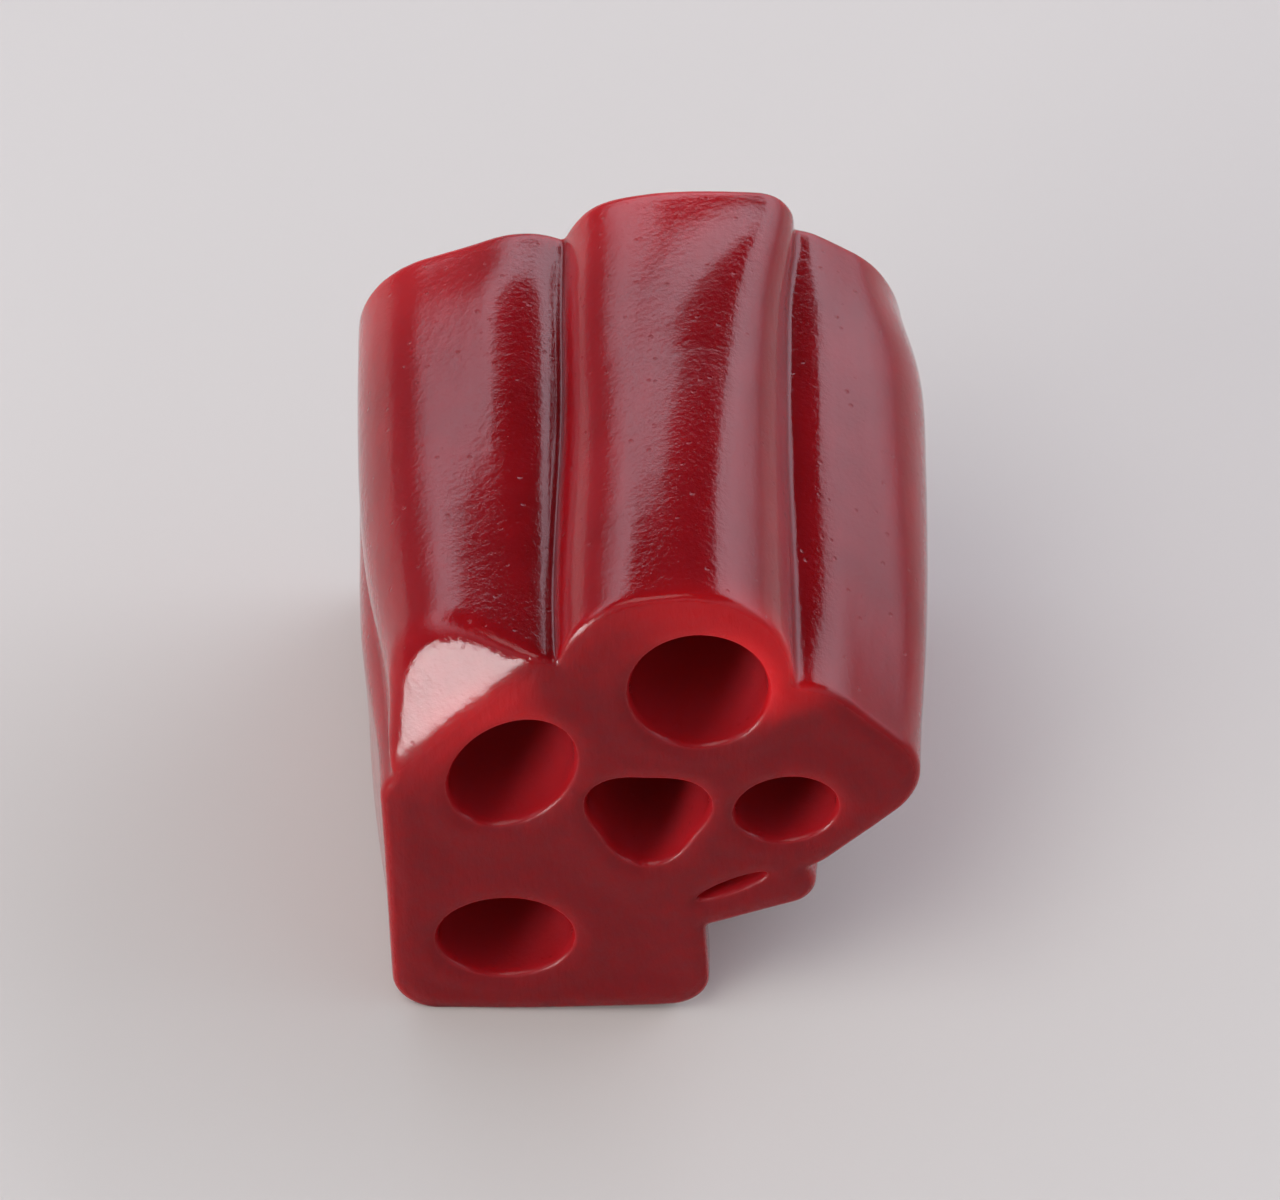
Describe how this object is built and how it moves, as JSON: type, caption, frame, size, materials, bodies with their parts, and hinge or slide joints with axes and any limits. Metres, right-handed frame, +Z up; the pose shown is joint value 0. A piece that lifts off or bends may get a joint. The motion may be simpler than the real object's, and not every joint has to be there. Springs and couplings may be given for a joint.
{
  "type": "cherry licorice bite",
  "caption": "A short cut piece of soft cherry licorice rope, ridged along its sides, with open channels running through it from cut face to cut face.",
  "frame": {"origin": "on the surface that the bite lies on, under the middle of its bounding box", "axes": "+Y along the rope, from the shown cut towards the other one; +Z up; +X to the right as seen from the shown cut"},
  "size_m": [0.019, 0.0212, 0.0187],
  "materials": {
    "licorice": "glossy, slightly translucent soft candy with satin cut faces"
  },
  "bodies": {
    "root": {"licorice_bite": "licorice"}
  },
  "joints": []
}
